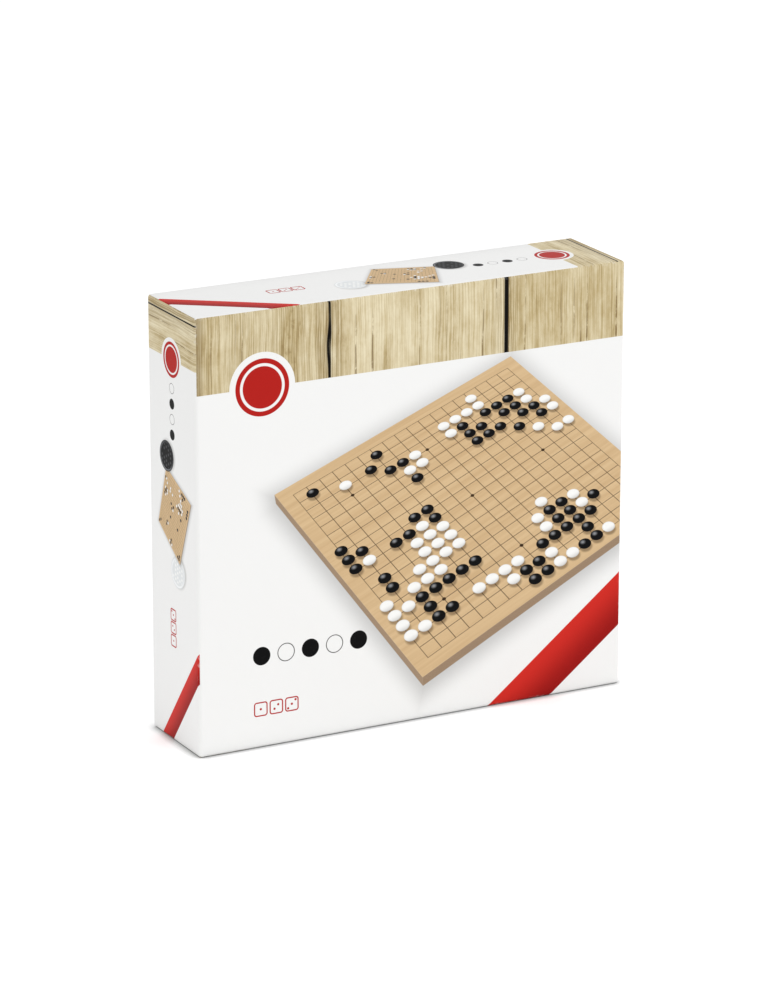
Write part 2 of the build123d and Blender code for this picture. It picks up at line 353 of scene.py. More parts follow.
def places(material):
    """The point's own place in millimetres, as three terms and as one vector."""
    tree = material.node_tree
    coordinates = tree.nodes.new("ShaderNodeTexCoord")
    scaled = tree.nodes.new("ShaderNodeVectorMath")
    scaled.operation = "SCALE"
    scaled.inputs["Scale"].default_value = 1 / MM
    tree.links.new(coordinates.outputs["Object"], scaled.inputs[0])
    parts = tree.nodes.new("ShaderNodeSeparateXYZ")
    tree.links.new(scaled.outputs[0], parts.inputs[0])
    return [Term(socket) for socket in parts.outputs], scaled.outputs[0]


def emboss(shader, height, depth):
    """Raise the surface by a term, with depth in millimetres."""
    bump = shader.id_data.nodes.new("ShaderNodeBump")
    bump.inputs["Strength"].default_value = 1.0
    bump.inputs["Distance"].default_value = depth * MM
    feed(bump.inputs["Height"], height)
    feed(shader.inputs["Normal"], bump.outputs["Normal"])


class Canvas:
    """Ink on one flat side, laid on in layers. Places are in millimetres."""

    def __init__(self, across, up, ground):
        self.across = across
        self.up = up
        self.colour = ground

    def lay(self, mask, colour):
        self.colour = blended(mask, self.colour, colour)

    def offset(self, centre):
        return self.across - centre[0], self.up - centre[1]

    def from_disc(self, centre, radius):
        """Distance outside a disc."""
        return length(*self.offset(centre)) - radius

    def from_polygon(self, corners):
        """Distance outside a convex outline that is drawn anticlockwise."""
        worst = None
        for (x, y), (next_x, next_y) in zip(corners, corners[1:] + corners[:1]):
            side = hypot(next_x - x, next_y - y)
            out_x, out_y = (next_y - y) / side, (x - next_x) / side
            edge = self.across * out_x + self.up * out_y - (x * out_x + y * out_y)
            worst = edge if worst is None else worst.most(edge)
        return worst

    def from_rounded_square(self, centre, half, corner):
        """Distance outside a square with rounded corners."""
        x, y = [part.absolute() - (half - corner) for part in self.offset(centre)]
        return length(x.most(0), y.most(0)) + x.most(y).least(0) - corner


def planks(along, across, gap):
    """The colour of weathered pale boards that lie side by side, with their edges at whole planks."""
    number = (across / PLANK).floor()
    outer = number.absolute().least(1)
    older = number.least(0).absolute()
    border = (across / PLANK).nearest().most(0).least(1)
    bend = noise(point(along * 0.016, across * 0.003, number))
    warped = across + bend * PLANK_WARP

    worn = noise(point(along * 0.09, across * 0.2, number + 13), detail=6.0, rough=0.7)
    fine = noise(point(along * 0.01, warped * 0.9, number + 4), detail=2.0, rough=0.9)
    broad = noise(point(along * 0.012, warped * 0.05, number + 9), detail=3.0, rough=0.6)
    shade = fine.rising(0.36, 0.66) * 0.5 + worn.rising(0.3, 0.7) * 0.35 + broad.rising(0.4, 0.6) * 0.35
    wood = blended(shade + outer * 0.2 - 0.1, WOOD_PALE, WOOD_MIDDLE)
    dark = fine.rising(0.44, 0.68) * (broad.rising(0.42, 0.62) * 0.25 + outer * 0.12 + older * 0.2)
    stain = worn.rising(0.5, 0.75) * broad.rising(0.5, 0.66) * (0.3 + older * 0.4)
    wave = (bend - 0.5) * PLANK_WAVE * (1 - border)
    edge = ((across + wave) / PLANK - 0.5).work("PINGPONG", 0.5) * (-PLANK) + PLANK / 2
    rim = edge.falling(0.0, PLANK_RIM) * fine.rising(0.34, 0.6) * 0.4
    wood = blended(dark + stain + rim, wood, WOOD_DARK)
    crack = noise(point(along * 0.007, warped * 0.4, number + 21), detail=0.0)
    wood = blended(crack.rising(0.71, 0.76) * worn.rising(0.38, 0.5) * 0.75, wood, WOOD_DARK)
    return blended((edge - (border * 0.3 + 0.5) * gap).inside(0.25 * gap), wood, WOOD_GAP)


class Picture:
    """A weiqi board drawn in perspective.

    Lengths are in board sides, and heights are above its face. What lies on the face is in cells.
    """

    FIELD = 0.905
    CELLS = 18
    STAR_STEP = 6
    STAR_START = 3
    FAR = 3.6
    THICKNESS = 0.04
    SHADOW_REACH = 0.09
    SHADOW_DROP = 0.012
    LINE = 0.026
    STAR = 0.13
    STONE = 0.43
    STONE_LIFT = 0.009
    STONE_SHADOW_SHIFT = (0.08, 0.10)

    def __init__(self, centre, side, turn_deg, tilt_deg):
        self.centre = centre
        self.side = side
        self.turn = radians(turn_deg)
        self.tilt = radians(tilt_deg)

    def matrix(self, height):
        """What takes a place on the board at one height to the picture."""
        turn_cos, turn_sin = cos(self.turn), sin(self.turn)
        tilt_cos, tilt_sin = cos(self.tilt), sin(self.tilt)
        scale = self.side * self.FAR
        x, y = self.centre
        depth = Vector((turn_sin * tilt_cos, turn_cos * tilt_cos, self.FAR - height * tilt_sin))
        right = Vector((scale * turn_cos, -scale * turn_sin, 0))
        rise = Vector((scale * turn_sin * tilt_sin, scale * turn_cos * tilt_sin, scale * height * tilt_cos))
        return Matrix((right + x * depth, rise + y * depth, depth))

    def shown(self, s, t, height=0.0):
        """Where a point of the board comes in the picture."""
        x, y, w = self.matrix(height) @ Vector((s, t, 1))
        return x / w, y / w

    def lattice(self, canvas, height):
        """Grid coordinates from 0 to CELLS of what the picture shows at one height above the face."""
        rows = self.matrix(height).inverted()
        s, t, w = [canvas.across * row[0] + canvas.up * row[1] + row[2] for row in rows]
        to_cells = self.CELLS / self.FIELD
        return [(part / w) * to_cells + self.CELLS / 2 for part in (s, t)]

    def off_field(self, s, t):
        """Distance outside the field of lines, in cells."""
        middle = self.CELLS / 2
        return (s - middle).absolute().most((t - middle).absolute()) - middle

    def draw(self, canvas, seed):
        """The whole board, with its shadow and its stones."""
        top = [(-0.5, -0.5), (0.5, -0.5), (0.5, 0.5), (-0.5, 0.5)]
        face = [self.shown(*corner) for corner in top]
        foot = [self.shown(*corner, -self.THICKNESS) for corner in top]
        near = min(range(4), key=lambda index: foot[index][1])
        left, right = (near + 3) % 4, (near + 1) % 4

        # Shadow on the white ground, then the two near sides
        outline = [foot[left], foot[near], foot[right], face[right], face[(near + 2) % 4], face[left]]
        reach = self.SHADOW_REACH * self.side
        lowered = [(x, y - self.SHADOW_DROP * self.side) for x, y in outline]
        shade = canvas.from_polygon(lowered).falling(-0.2 * reach, reach)
        canvas.lay(shade.power(1.6) * 0.42, SOFT_SHADOW)
        fleck = noise(point(canvas.across * 1.3, canvas.up * 1.3, seed), detail=3.0)
        for start, end, dark in ((left, near, 0.25), (near, right, 0.75)):
            corners = [foot[start], foot[end], face[end], face[start]]
            share = fleck.rising(0.3, 0.7) * 0.4 + dark * 0.6
            side_colour = blended(share, BOARD_SIDE, BOARD_SIDE_DARK)
            canvas.lay(canvas.from_polygon(corners).inside(), side_colour)

        # Face with its grain, lines and star points
        s, t = self.lattice(canvas, 0.0)
        grain = noise(point(s * 0.07, t * 2.3, seed), detail=5.0, rough=0.6)
        cloud = noise(point(s * 0.12, t * 0.3, seed + 1), detail=1.0)
        wood = blended(grain.rising(0.3, 0.72) * 0.7 + cloud * 0.3, BOARD_PALE, BOARD_DARK)
        canvas.lay(canvas.from_polygon(face).inside(), wood)
        soft = EDGE_SOFT * self.CELLS / (self.side * self.FIELD)
        line = (s - s.nearest()).absolute().least((t - t.nearest()).absolute()) - self.LINE
        canvas.lay(line.most(self.off_field(s, t) - soft).inside(soft) * 0.85, BOARD_LINE)
        stars = []
        for part in (s, t):
            number = ((part - self.STAR_START) / self.STAR_STEP).nearest().most(0).least(2)
            stars.append(part - number * self.STAR_STEP - self.STAR_START)
        canvas.lay((length(*stars) - self.STAR).inside(soft), BOARD_LINE)
        self.draw_stones(canvas, seed, soft)

    def stone_at(self, s, t, seed):
        """Whether a stone lies on a crossing, and whether it is white."""
        groups = noise(point(s * 0.23, t * 0.23, seed + 0.5), detail=0.0)
        chance = scatter(point(s, t, seed))
        on_board = (self.off_field(s, t) - 0.5).inside(0.01)
        lies = on_board * (groups.rising(0.42, 0.66) * 0.86 - chance).rising(-0.001, 0.001)
        sides = noise(point(s * 0.41, t * 0.41, seed + 7.5), detail=0.0)
        white = (sides + scatter(point(s, t, seed + 2)) * 0.16).rising(0.579, 0.581)
        return lies, white

    def draw_stones(self, canvas, seed, soft):
        """Lens-shaped stones on the crossings, each with its shadow and its gloss."""
        up_s, up_t = sin(self.turn), cos(self.turn)
        right_s, right_t = up_t, -up_s

        s, t = self.lattice(canvas, 0.0)
        aside, below = self.STONE_SHADOW_SHIFT
        cast_s = s - aside * right_s + below * up_s
        cast_t = t - aside * right_t + below * up_t
        at_s, at_t = cast_s.nearest(), cast_t.nearest()
        lies, _ = self.stone_at(at_s, at_t, seed)
        shadow = length(cast_s - at_s, cast_t - at_t).falling(0.33, 0.53)
        canvas.lay(shadow * lies * 0.55, STONE_SHADOW)

        s, t = self.lattice(canvas, self.STONE_LIFT)
        at_s, at_t = s.nearest(), t.nearest()
        lies, white = self.stone_at(at_s, at_t, seed)
        off_s, off_t = s - at_s, t - at_t
        far = length(off_s, off_t)
        over = off_s * (up_s / self.STONE) + off_t * (up_t / self.STONE)
        along = off_s * (right_s / self.STONE) + off_t * (right_t / self.STONE)
        gloss = length(along + 0.3, over - 0.36).falling(0.0, 0.62).power(1.5)
        dark = blended(gloss * 0.5, BLACK, STONE_GLOSS)
        shade = (along * 0.35 - over * 0.75).rising(-0.1, 1.0) * 0.55 + far.rising(0.33, 0.44) * 0.25
        light = blended(shade, STONE_WHITE, STONE_SHADE)
        canvas.lay((far - self.STONE).inside(soft) * lies, blended(white, dark, light))


def draw_dish(canvas, centre, radius, body, edge, stone, seed):
    """A round dish of stones seen from above."""
    shadow = canvas.from_disc((centre[0] + 0.05 * radius, centre[1] - 0.14 * radius), radius)
    canvas.lay(shadow.falling(-0.1 * radius, 0.22 * radius) * 0.4, SOFT_SHADOW)
    canvas.lay(canvas.from_disc(centre, radius).inside(), body)
    rim = canvas.from_disc(centre, 0.9 * radius).absolute() - 0.05 * radius
    glow = (canvas.up - canvas.across + centre[0] - centre[1]).rising(-radius, radius)
    canvas.lay(rim.inside() * (glow * 0.7 + 0.2), edge)
    size = 0.3 * radius
    x, y = [part / size for part in canvas.offset(centre)]
    row = y.nearest()
    x = x + row * 0.5
    off_x, off_y = x - x.nearest(), y - row
    lies = (scatter(point(x.nearest(), row, seed)) - 0.1).rising(0.0, 0.01)
    inside = canvas.from_disc(centre, 0.8 * radius).inside(0.1 * radius)
    dome = length(off_x + 0.12, off_y - 0.16).falling(0.0, 0.55)
    tone = blended(dome, body, stone)
    canvas.lay((length(off_x, off_y) - 0.46).inside(EDGE_SOFT / size) * lies * inside, tone)


def draw_pips(canvas, start, step, half):
    """Three small frames in a row, with one, two and three spots."""
    for number in range(3):
        centre = (start[0] + number * step, start[1])
        frame_line = canvas.from_rounded_square(centre, half, half * 0.35).absolute() - PIP_LINE / 2
        canvas.lay(frame_line.inside(), RED)
        for spot in range(number + 1):
            shift = (spot - number / 2) * half * 0.6
            canvas.lay(canvas.from_disc((centre[0] + shift, centre[1] + shift), half * 0.18).inside(), RED)


def draw_row(canvas, start, step, radius, count):
    """A row of flat black and open spots."""
    for number in range(count):
        centre = (start[0] + number * step, start[1])
        canvas.lay(canvas.from_disc(centre, radius).inside(), BLACK)
        if number % 2:
            canvas.lay(canvas.from_disc(centre, 0.91 * radius).inside(), PAPER)


def draw_seal(canvas, centre, radius):
    """A plain red disc with a white border and a white ring."""
    canvas.lay(canvas.from_disc(centre, radius * 1.22).inside(), PAPER)
    canvas.lay(canvas.from_disc(centre, radius).inside(), RED)
    canvas.lay((canvas.from_disc(centre, radius * 0.78).absolute() - 0.05 * radius).inside(), PAPER)


def draw_ribbon(canvas, start, end, width):
    """A red band from one side to another, dark along its lower edge and bright above it."""
    away = Vector((end[1] - start[1], start[0] - end[0])).normalized()
    across = (canvas.across - start[0]) * away.x + (canvas.up - start[1]) * away.y
    tone = blended((across / width).rising(0.0, 1.0), RED_BRIGHT, RED_DEEP)
    canvas.lay(((across - width / 2).absolute() - width / 2).inside(), tone)


def finish_print(shader, colour, vector, fold_distance=None):
    """Satin coated paper: soft fibre, faint waves and, where folds are given, a little wear along them."""
    fibre = noise(vector, scale=2.6, detail=3.0)
    waves = noise(vector, scale=0.03, detail=1.0)
    emboss(shader, fibre * 0.03 + waves, 0.12)
    roughness = fibre * 0.08 + 0.36
    if fold_distance is not None:
        worn = noise(vector, scale=0.35, detail=4.0).rising(0.5, 0.75) * fold_distance.falling(0.3, 2.4)
        colour = blended(worn * 0.35, colour, PAPER)
        roughness = roughness + worn * 0.2
    feed(shader.inputs["Base Color"], colour)
    feed(shader.inputs["Roughness"], roughness)


def front_print(high):
    """The panel: boards across the top, a set-out game on white, and plain marks."""
    material, shader = surface("lid_front_print", Specular_IOR_Level=PRINT_SHINE)
    (x, _, z), vector = places(material)
    canvas = Canvas(x, z, PAPER)
    right, top = high.x / MM, high.z / MM
    foot = top - FRONT_BAND

    Picture(**FRONT_BOARD).draw(canvas, FRONT_GAME_SEED)
    band = (foot - z).inside()
    canvas.lay(band, planks(z, x - FRONT_FIRST_GAP, FRONT_GAP))
    canvas.lay(band * (x + right).falling(*FRONT_DARK_EDGE) * 0.5, WOOD_DARK)
    draw_seal(canvas, (FRONT_SEAL_X, foot), FRONT_SEAL_RADIUS)
    draw_row(canvas, **FRONT_ROW)
    draw_pips(canvas, **FRONT_PIPS)
    draw_ribbon(canvas, (right - FRONT_RIBBON_RUN, 0.0), (right, FRONT_RIBBON_RISE), FRONT_RIBBON_WIDTH)
    fold = (right - x.absolute()).least(z.least(top - z))
    finish_print(shader, canvas.colour, vector, fold)
    return material


def strip_print(name, along, way_across, reach, depth):
    """A side: a red band at its start, marks and small pictures along it, boards at its end.

    Along is an axis, a way and the distance to the strip's start.
    """
    material, shader = surface(name, Specular_IOR_Level=PRINT_SHINE)
    axes, vector = places(material)
    axis, way, start = along
    u = axes[axis] * way + start
    v = axes[Y_AXIS] * way_across
    canvas = Canvas(u, v, PAPER)
    foot = reach - SIDE_BAND

    def at(place):
        return place[0] * reach, place[1]

    ribbon_start = (0.0, SIDE_RIBBON_START_SHARE * depth)
    draw_ribbon(canvas, ribbon_start, (SIDE_RIBBON_END_SHARE * reach, -depth), SIDE_RIBBON_WIDTH)
    draw_pips(canvas, at(SIDE_PIPS_PLACE), **SIDE_PIPS)
    draw_dish(canvas, at(PALE_DISH_PLACE), DISH_RADIUS, **PALE_DISH)
    Picture(at(SIDE_BOARD_PLACE), **SIDE_BOARD).draw(canvas, SIDE_GAME_SEED)
    draw_dish(canvas, at(DARK_DISH_PLACE), DISH_RADIUS, **DARK_DISH)
    draw_row(canvas, at(SIDE_ROW_PLACE), SIDE_ROW_STEP_SHARE * reach, **SIDE_ROW)
    canvas.lay((foot - u).inside(), planks(v, u - reach + SIDE_LAST_GAP + PLANK, SIDE_GAP))
    draw_seal(canvas, (foot, 0.0), SIDE_SEAL_RADIUS)
    fold = u.least(reach - u).least(depth - v.absolute())
    finish_print(shader, canvas.colour, vector, fold)
    return material


def white_paper(name):
    """Plain coated paper."""
    material, shader = surface(name)
    _, vector = places(material)
    cloud = noise(vector, scale=0.05)
    colour = blended(cloud * 0.3, PAPER, ink(232, 231, 228))
    finish_print(shader, colour, vector)
    return material


def flecked_board():
    """Pressed grey board with light and dark fibres."""
    material, shader = surface("flecked_greyboard", 0.92, Specular_IOR_Level=0.25)
    _, vector = places(material)
    cloud = noise(vector, scale=0.05, detail=3.0)
    colour = blended(cloud.rising(0.3, 0.7), ink(176, 171, 162), ink(169, 164, 155))
    fibre = noise(vector, scale=1.2)
    colour = blended(fibre.rising(0.6, 0.72) * 0.6, colour, ink(120, 115, 107))
    colour = blended(fibre.falling(0.3, 0.4) * 0.5, colour, ink(208, 203, 193))
    feed(shader.inputs["Base Color"], colour)
    emboss(shader, noise(vector, scale=2.2, detail=4.0), 0.12)
    return material


def brown_tape():
    """Brown paper tape with fibres along it."""
    material, shader = surface("stay_tape", 0.8, Specular_IOR_Level=0.25)
    (x, y, z), _ = places(material)
    fibre = noise(point(x * 0.2, y * 2.4, z * 0.2), detail=4.0)
    feed(shader.inputs["Base Color"], blended(fibre, ink(190, 152, 108), ink(160, 122, 82)))
    emboss(shader, fibre, 0.05)
    return material


def moulded(name, pale, dark, roughness, ripple=0.02, **shares):
    """Moulded plastic: an even colour, a faint ripple and a rubbed shine."""
    material, shader = surface(name, **shares)
    _, vector = places(material)
    cloud = noise(vector, scale=0.05)
    feed(shader.inputs["Base Color"], blended(cloud.rising(0.3, 0.7), pale, dark))
    rubbed = noise(vector, scale=0.08)
    feed(shader.inputs["Roughness"], rubbed.rising(0.35, 0.75) * 0.06 + roughness)
    emboss(shader, noise(vector, scale=0.25), ripple)
    return material


def fibreboard():
    """The board's core: pressed brown fibre."""
    material, shader = surface("board_fibre", 0.75, Specular_IOR_Level=0.3)
    _, vector = places(material)
    cloud = noise(vector, scale=0.06, detail=3.0)
    colour = blended(cloud.rising(0.3, 0.7), BOARD_SIDE, BOARD_SIDE_DARK)
    fibre = noise(vector, scale=1.6, detail=3.0)
    colour = blended(fibre.rising(0.52, 0.7) * 0.5, colour, ink(112, 90, 68))
    feed(shader.inputs["Base Color"], colour)
    emboss(shader, fibre, 0.1)
    return material


def veneer(name, low, high, engraved):
    """Varnished tan wood with straight grain, and dark paint in the grooves of its face."""
    material, shader = surface(name, Coat_Weight=0.2, Coat_Roughness=0.25)
    (x, y, z), _ = places(material)
    strip = (z / VENEER_STRIP_MM).floor()
    tone = scatter(point(strip, 3.0))
    bend = noise(point(x * 0.006, z * 0.02, strip))
    warped = z + bend * 9
    pores = noise(point(x * 0.03, warped * 1.5, strip), detail=5.0, rough=0.65)
    rings = noise(point(x * 0.004, warped * 0.16, strip + 5), detail=3.0)
    shade = pores.rising(0.35, 0.7) * 0.5 + rings.rising(0.35, 0.65) * 0.35 + tone * 0.15
    wood = blended(shade, BOARD_PALE, BOARD_DARK)
    wood = blended(pores.rising(0.62, 0.74) * 0.35, wood, ink(150, 112, 70))
    feed(shader.inputs["Roughness"], pores * 0.16 + 0.3)
    if engraved:
        half_width, half_height = [(side / 2 - GRID_BORDER) / MM for side in (high.x - low.x, high.z - low.z)]
        middle = (low.z + high.z) / 2 / MM
        sunk = (y - (low.y + GROOVE_LIP) / MM).rising(0.0, 0.05)
        field = (x.absolute() - half_width).most((z - middle).absolute() - half_height)
        wood = blended(sunk * field.inside(), wood, BOARD_LINE)
    feed(shader.inputs["Base Color"], wood)
    emboss(shader, pores, 0.05)
    return material


def leaflet_print(low, high):
    """Matt paper with three small game diagrams, a red rule under each and a red bar above them."""
    material, shader = surface("leaflet_print", 0.8, Specular_IOR_Level=0.25)
    (x, _, z), vector = places(material)
    cloud = noise(vector, scale=0.05)
    paper = blended(cloud * 0.4, PAPER, ink(230, 228, 222))
    canvas = Canvas(x, z - (low.z + high.z) / 2 / MM, paper)
    middle = (DIAGRAM_LINES - 1) / 2
    number = (x / LEAFLET_PAGE).nearest()
    s = (x - number * LEAFLET_PAGE) / DIAGRAM_PITCH
    t = (canvas.up - DIAGRAM_LIFT) / DIAGRAM_PITCH
    within = s.absolute().most(t.absolute()) - middle
    soft = EDGE_SOFT / DIAGRAM_PITCH
    line = (s - s.nearest()).absolute().least((t - t.nearest()).absolute())
    canvas.lay((line.most(within) - DIAGRAM_LINE_SHARE).inside(soft), DIAGRAM_LINE)
    at = point(s.nearest(), t.nearest(), number)
    lies = (scatter(at) - DIAGRAM_EMPTY_SHARE).rising(0.0, 0.01) * (within - 0.5).inside(0.01)
    far = length(s - s.nearest(), t - t.nearest())
    canvas.lay((far - DIAGRAM_STONE_SHARE).inside(soft) * lies, DIAGRAM_STONE)
    white = noise(at, scale=0.37, detail=0.0).rising(0.49, 0.51)
    canvas.lay((far - DIAGRAM_RING_SHARE).inside(soft) * lies * white, PAPER)
    rule = (canvas.up - RULE_LIFT).absolute() / DIAGRAM_PITCH - RULE_HALF_SHARE
    canvas.lay((s.absolute() - middle).most(rule).inside(soft), RED)
    head_bar = (canvas.up - HEAD_BAR_LIFT).absolute() - HEAD_BAR_HALF
    canvas.lay(head_bar.most(x.absolute() - HEAD_BAR_REACH).inside(), RED)
    feed(shader.inputs["Base Color"], canvas.colour)
    emboss(shader, noise(vector, scale=1.8, detail=3.0), 0.04)
    return material


def link_new(name, data):
    """Put a new object in the scene."""
    obj = bpy.data.objects.new(name, data)
    bpy.context.scene.collection.objects.link(obj)
    return obj


def add_mesh(name, build, materials):
    """A new object from a bmesh."""
    mesh = bpy.data.meshes.new(name)
    build.to_mesh(mesh)
    build.free()
    for material in materials:
        mesh.materials.append(material)
    return link_new(name, mesh)


def join_rings(build, rings):
    """Faces between rings of as many points, left out where two rings run together."""
    for ring, after in zip(rings, rings[1:]):
        count = len(ring)
        for i in range(count):
            j = (i + 1) % count
            if max((ring[k].co - after[k].co).length for k in (i, j)) > RINGS_APART:
                build.faces.new((ring[i], ring[j], after[j], after[i]))


def weld(build, apart):
    """Merge the points that lie together, and turn all faces the same way."""
    bmesh.ops.remove_doubles(build, verts=build.verts, dist=apart)
    bmesh.ops.recalc_face_normals(build, faces=build.faces)
    build.normal_update()


def rounded_loop(low, high, inset, radius, y):
    """A rounded rectangle across the box at one depth, with as many points whatever its radius."""
    corners = []
    for x, z, start in (
        (high.x - inset, high.z - inset, 0),
        (low.x + inset, high.z - inset, 90),
        (low.x + inset, low.z + inset, 180),
        (high.x - inset, low.z + inset, 270),
    ):
        way_x = copysign(1, x - (low.x + high.x) / 2)
        way_z = copysign(1, z - (low.z + high.z) / 2)
        for step in range(ROUND_STEPS + 1):
            angle = radians(start + 90 * step / ROUND_STEPS)
            centre = (x - way_x * radius, z - way_z * radius)
            corners.append((centre[0] + radius * cos(angle), y, centre[1] + radius * sin(angle)))
    return corners


def folded_shell(name, low, high, panel_y, rim_y, materials, pick):
    """A wrap: one sheet over a panel and four walls, folded round the rim and turned in."""
    way = copysign(1, rim_y - panel_y)
    depth = abs(rim_y - panel_y)
    profile = [(WRAP_FOLD + WRAP_FLAT, 0.0)]
    for step in range(ROUND_STEPS + 1):
        angle = radians(90 * step / ROUND_STEPS)
        profile.append((WRAP_FOLD * (1 - sin(angle)), WRAP_FOLD * (1 - cos(angle))))
    profile.append((0.0, WRAP_FOLD + WRAP_FLAT))
    profile.append((0.0, depth - WRAP_TURN_IN))
    for centre, start in ((WRAP_RIM_ROUND, 180), (WRAP_WALL - WRAP_RIM_ROUND, 90)):
        for step in range(RIM_STEPS + 1):
            angle = radians(start - 90 * step / RIM_STEPS)
            inset = centre + WRAP_RIM_ROUND * cos(angle)
            profile.append((inset, depth - WRAP_RIM_ROUND * (1 - sin(angle))))
    profile.append((WRAP_WALL, depth - WRAP_TURN_IN))

    build = bmesh.new()
    loops = []
    for inset, down in profile:
        radius = max(WRAP_FOLD - inset, WRAP_LEAST_ROUND)
        loop = rounded_loop(low, high, inset, radius, panel_y + way * down)
        loops.append([build.verts.new(corner) for corner in loop])
    build.faces.new(loops[0])
    join_rings(build, loops)
    weld(build, WELD)
    middle = Vector(((low.x + high.x) / 2, (panel_y + rim_y) / 2, (low.z + high.z) / 2))
    panel = max(build.faces, key=lambda face: face.calc_area())
    if panel.normal.dot(panel.calc_center_median() - middle) < 0:
        bmesh.ops.reverse_faces(build, faces=build.faces)
    for face in build.faces:
        face.smooth = True
        face.material_index = pick(face, middle)
    obj = add_mesh(name, build, materials)
    thicken = obj.modifiers.new("sheet", "SOLIDIFY")
    thicken.thickness = WRAP_PAPER
    thicken.offset = -1.0
    thicken.use_even_offset = True
    return obj


def lid_side(face, middle):
    """Which print a face of the lid's wrap carries: panel, left, right, top, bottom or turn-in."""
    normal = face.normal
    outwards = normal.dot(face.calc_center_median() - middle) > 0
    if not outwards or normal.y > 0.5:
        return 5
    sides = (-normal.y, -normal.x, normal.x, normal.z, -normal.z)
    return sides.index(max(sides))


def dress(material, *nodes):
    """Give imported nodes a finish."""
    for node in nodes:
        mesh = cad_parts[node].data
        mesh.materials.clear()
        mesh.materials.append(material)


def seat(obj, body, slot, *nodes):
    """Put a piece on its body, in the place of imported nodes."""
    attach(obj, body)
    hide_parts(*nodes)
    return obj


def smooth(obj):
    """Soft shading that keeps broad flat faces flat."""
    for face in obj.data.polygons:
        face.use_smooth = True
    shading = obj.modifiers.new("shading", "WEIGHTED_NORMAL")
    shading.keep_sharp = True


def rounded(corners):
    """A line through corners, each a radius, a height and a rounding, with arcs at the rounded ones."""
    line = [Vector(corners[0][:2])]
    for before, here, after in zip(corners, corners[1:], corners[2:]):
        place = Vector(here[:2])
        if not here[2]:
            line.append(place)
            continue
        to_before = (Vector(before[:2]) - place).normalized()
        to_after = (Vector(after[:2]) - place).normalized()
        half = to_before.angle(to_after) / 2
        centre = place + (to_before + to_after).normalized() * (here[2] / sin(half))
        start = place + to_before * (here[2] / tan(half)) - centre
        end = place + to_after * (here[2] / tan(half)) - centre
        for step in range(ARC_STEPS + 1):
            line.append(centre + start.lerp(end, step / ARC_STEPS).normalized() * here[2])
    line.append(Vector(corners[-1][:2]))
    return line


def turned(name, node, corners, material):
    """A turned piece about the middle of a node. Heights run from the node's back towards its front."""
    low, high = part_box(node)
    middle = (low + high) / 2
    build = bmesh.new()
    rings = []
    for radius, height in rounded(corners):
        ring = []
        for step in range(TURN_STEPS):
            angle = 2 * pi * step / TURN_STEPS
            x, z = radius * cos(angle), radius * sin(angle)
            ring.append(build.verts.new((middle.x + x, high.y - height, middle.z + z)))
        rings.append(ring)
    join_rings(build, rings)
    weld(build, TURN_WELD)
    obj = add_mesh(name, build, [material])
    smooth(obj)
    return obj


def bowl(name, node, material):
    """A tapered bowl with a snap bead round its rim and every edge softened."""
    low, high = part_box(node)
    bead = (high.x - low.x) / 2
    height = high.y - low.y
    rim = bead - BOWL_BEAD
    foot = rim - BOWL_TAPER
    under = height - BOWL_BEAD_HEIGHT
    recess = foot - BOWL_RECESS_INSET
    corners = [
        (0, BOWL_RECESS, 0),
        (recess, BOWL_RECESS, BOWL_RECESS_ROUND),
        (recess - BOWL_RECESS, 0, BOWL_RECESS_ROUND),
        (foot, 0, BOWL_FOOT_ROUND),
        (rim - BOWL_TAPER * BOWL_BEAD_HEIGHT / height, under, BOWL_NECK_ROUND),
        (bead, under + BOWL_BEAD, BOWL_BEAD_ROUND),
        (bead, height, BOWL_RIM_ROUND),
        (rim - BOWL_WALL, height, BOWL_MOUTH_ROUND),
        (foot - BOWL_WALL + BOWL_TAPER * BOWL_WALL / height, BOWL_WALL, BOWL_FLOOR_ROUND),
        (0, BOWL_WALL, 0),
    ]
    return turned(name, node, corners, material)


def bowl_lid(name, node, material):
    """A shallow cap with a sunk panel and a grip bead along its skirt."""
    low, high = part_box(node)
    radius = (high.x - low.x) / 2
    height = high.y - low.y
    inner = radius - LID_SKIRT
    panel = radius - LID_PANEL_INSET
    upper = radius - LID_GRIP
    corners = [
        (0, height - LID_TOP, 0),
        (inner, height - LID_TOP, LID_INNER_ROUND),
        (inner, 0, LID_SKIRT_ROUND),
        (radius, 0, LID_SKIRT_ROUND),
        (radius, LID_GRIP_HEIGHT, LID_SKIRT_ROUND),
        (upper, LID_GRIP_HEIGHT + LID_GRIP, LID_SKIRT_ROUND),
        (upper, height, LID_TOP_ROUND),
        (panel + LID_PANEL_SLOPE, height, LID_PANEL_ROUND),
        (panel, height - LID_PANEL_DROP, LID_PANEL_ROUND),
        (0, height - LID_PANEL_DROP, 0),
    ]
    return turned(name, node, corners, material)


